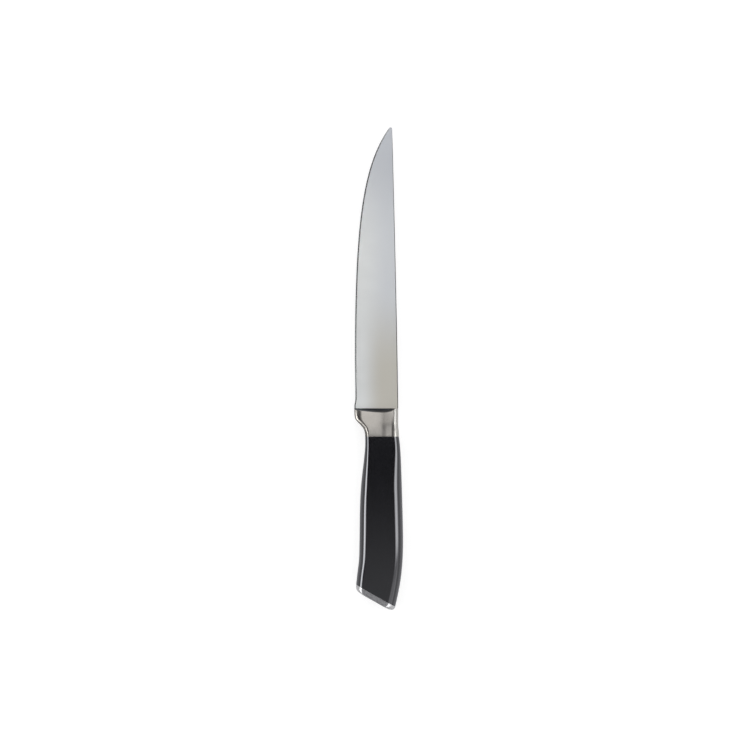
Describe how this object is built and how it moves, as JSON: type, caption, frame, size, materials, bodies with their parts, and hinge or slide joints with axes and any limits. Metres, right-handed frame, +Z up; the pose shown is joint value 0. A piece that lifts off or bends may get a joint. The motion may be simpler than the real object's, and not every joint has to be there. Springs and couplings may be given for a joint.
{
  "type": "carving knife",
  "caption": "Carving knife lying on its flank: long pointed steel blade, full bolster with finger guard, black moulded handle and slanted steel end cap.",
  "frame": {"origin": "under the middle of the knife's outline, on the surface it lies on", "axes": "+Y along the knife towards the tip, +X towards the spine, +Z up, square to the blade's flank"},
  "size_m": [0.0348, 0.3433, 0.016],
  "materials": {
    "blade_steel": "fine satin grind across the blade",
    "polished_steel": "polished",
    "mill_steel": "as rolled, hidden inside the handle",
    "handle_black": "semi-gloss moulded"
  },
  "bodies": {
    "root": {"blade": "blade_steel", "bolster": "polished_steel", "tang": "mill_steel", "handle_left": "handle_black", "handle_right": "handle_black", "tang_pins": "mill_steel", "end_cap": "polished_steel", "cap_pin": "mill_steel"}
  },
  "joints": []
}
